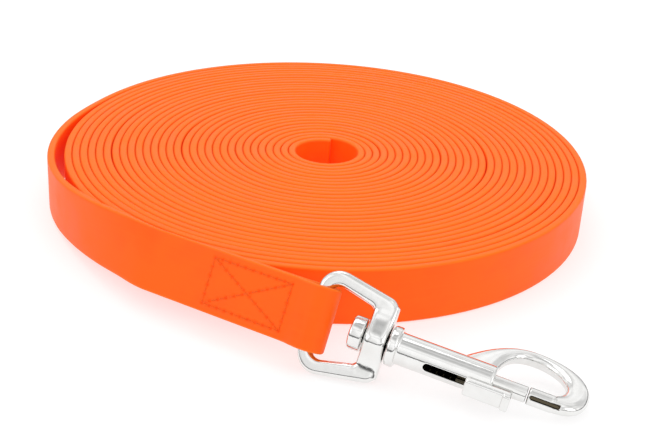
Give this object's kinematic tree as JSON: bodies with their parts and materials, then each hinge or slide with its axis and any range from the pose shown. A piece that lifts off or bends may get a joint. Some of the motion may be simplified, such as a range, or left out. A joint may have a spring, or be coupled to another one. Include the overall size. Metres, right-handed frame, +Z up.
{
  "type": "training leash",
  "caption": "Coated-webbing training leash wound on edge into a flat coil, its outer end sewn round a swivel bolt snap.",
  "frame": {"origin": "centre of the coil on the surface that the leash lies on", "axes": "+Z up along the coil's axis; +X the way the snap points seen from above; -Z out of the coil's flat base"},
  "size_m": [0.1766, 0.1786, 0.0241],
  "materials": {
    "strap": "smooth soft-sheen plastic coating over webbing",
    "thread": "twisted polyester thread",
    "chrome": "bright plated zinc casting",
    "spring_steel": "drawn spring wire"
  },
  "bodies": {
    "strap": {"strap_coil": "strap", "strap_lead": "strap", "box_stitching": "thread"},
    "eye": {"swivel_eye": "chrome"},
    "hook": {"hook_body": "chrome", "swivel_rivet": "chrome", "return_spring": "spring_steel"},
    "bolt": {"plunger": "chrome", "thumb_stud": "chrome"}
  },
  "joints": [
    {"name": "eye_pivot", "type": "hinge", "parent": "strap", "child": "eye", "pos_m": [0.03, -0.0915, 0.0126], "axis": [0.1305, 0.4695, 0.8732], "range_deg": [-110, 0]},
    {"name": "swivel_spin", "type": "hinge", "parent": "eye", "child": "hook", "pos_m": [0.03, -0.0915, 0.0126], "axis": [0.989, 0, -0.1478], "continuous": true},
    {"name": "bolt_slide", "type": "slide", "parent": "hook", "child": "bolt", "axis": [-0.989, 0, 0.1478], "range_m": [0, 0.009], "stiffness_N_per_m": 600, "springref_m": -0.008, "deforming": ["return_spring"]}
  ]
}
